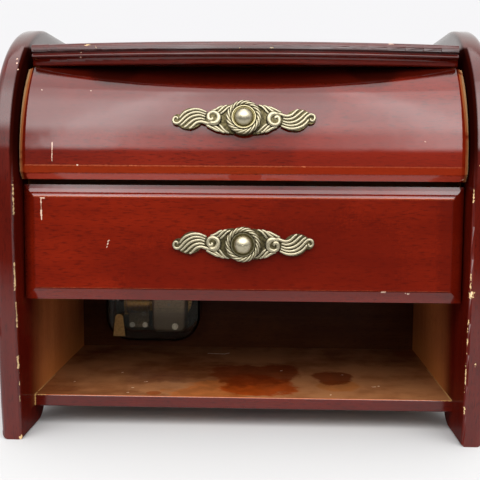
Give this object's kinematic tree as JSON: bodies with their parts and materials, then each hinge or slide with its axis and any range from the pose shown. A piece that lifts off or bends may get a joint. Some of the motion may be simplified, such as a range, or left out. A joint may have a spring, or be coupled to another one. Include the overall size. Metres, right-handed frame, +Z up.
{
  "type": "musical jewellery chest",
  "caption": "Red-lacquered roll-front jewellery chest with curved and flat drawers on scroll pulls, a hinged bow-front top over a tray, an open bay and a wind-up music movement inside.",
  "frame": {"origin": "on the ground under the middle of the bounding box", "axes": "+X to the right as seen from the front, +Y to the back, +Z up"},
  "size_m": [0.242, 0.174, 0.2115],
  "materials": {
    "lacquered_wood": "gloss red-mahogany lacquer",
    "stained_wood": "satin orange-brown stain",
    "felt": "red felt",
    "silver_casting": "antique silver plate with dark recesses",
    "brass": "satin",
    "steel": "satin",
    "zinc_casting": "as cast",
    "smoky_plastic": "clear smoky moulding"
  },
  "bodies": {
    "chest": {"left_side_panel": "lacquered_wood", "right_side_panel": "lacquered_wood", "back_panel": "stained_wood", "bottom_shelf": "lacquered_wood", "bay_board": "stained_wood", "drawer_board": "stained_wood", "tray_floor": "stained_wood", "tray_rail": "stained_wood", "tray_felt": "felt", "left_hinge_fixed_leaf": "brass", "right_hinge_fixed_leaf": "brass", "left_hinge_pin": "steel", "right_hinge_pin": "steel", "hinge_fixed_screws": "brass", "movement_cover": "smoky_plastic", "movement_bedplate": "zinc_casting", "spring_housing": "steel", "mainspring": "steel", "governor_bracket": "steel", "music_comb": "steel", "comb_screws": "steel", "movement_screws": "steel", "housing_screws": "brass"},
    "lid": {"lid_board": "lacquered_wood", "left_hinge_lid_leaf": "brass", "right_hinge_lid_leaf": "brass", "hinge_lid_screws": "brass"},
    "upper_drawer": {"upper_drawer_front": "lacquered_wood", "upper_drawer_left_side": "stained_wood", "upper_drawer_right_side": "stained_wood", "upper_drawer_back": "stained_wood", "upper_drawer_floor": "stained_wood", "upper_drawer_felt": "felt", "upper_pull_backplate": "silver_casting", "upper_pull_knob": "silver_casting", "upper_pull_screw": "steel"},
    "lower_drawer": {"lower_drawer_front": "lacquered_wood", "lower_drawer_left_side": "stained_wood", "lower_drawer_right_side": "stained_wood", "lower_drawer_back": "stained_wood", "lower_drawer_floor": "stained_wood", "lower_drawer_felt": "felt", "lower_pull_backplate": "silver_casting", "lower_pull_knob": "silver_casting", "lower_pull_screw": "steel"},
    "winding": {"winding_arbor": "steel", "main_wheel": "brass", "winding_key": "steel"},
    "cylinder": {"tune_cylinder": "brass", "cylinder_pinion": "brass", "cylinder_wheel": "brass", "cylinder_axle": "steel"},
    "governor": {"governor_arbor": "brass", "governor_worm_wheel": "brass"},
    "fly": {"governor_fly": "steel"},
    "stop": {"stop_lever": "brass"}
  },
  "joints": [
    {"name": "lid_hinge", "type": "hinge", "parent": "chest", "child": "lid", "pos_m": [0, 0.0708, 0.18765], "axis": [-1, 0, 0], "range_deg": [0, 100]},
    {"name": "upper_drawer_slide", "type": "slide", "parent": "chest", "child": "upper_drawer", "axis": [0, -1, 0], "range_m": [0, 0.09]},
    {"name": "lower_drawer_slide", "type": "slide", "parent": "chest", "child": "lower_drawer", "axis": [0, -1, 0], "range_m": [0, 0.09]},
    {"name": "cylinder_turn", "type": "hinge", "parent": "chest", "child": "cylinder", "pos_m": [-0.07, 0.05275, 0.049], "axis": [1, 0, 0], "continuous": true},
    {"name": "winding_turn", "type": "hinge", "parent": "chest", "child": "winding", "pos_m": [-0.05, 0.06, 0.049], "axis": [0, 1, 0], "continuous": true},
    {"name": "governor_turn", "type": "hinge", "parent": "chest", "child": "governor", "pos_m": [-0.08, 0.05275, 0.05908], "axis": [1, 0, 0], "continuous": true},
    {"name": "fly_turn", "type": "hinge", "parent": "chest", "child": "fly", "pos_m": [-0.0839, 0.04802, 0.06], "axis": [0, 0, 1], "continuous": true},
    {"name": "stop_lever_swing", "type": "hinge", "parent": "chest", "child": "stop", "pos_m": [-0.0811, 0.05, 0.041], "axis": [0, 1, 0], "range_deg": [-15, 15]}
  ],
  "couplings": [
    {"joint": "winding_turn", "follows": "cylinder_turn", "ratio": 0.4},
    {"joint": "governor_turn", "follows": "cylinder_turn", "ratio": -4},
    {"joint": "fly_turn", "follows": "cylinder_turn", "ratio": 48}
  ]
}
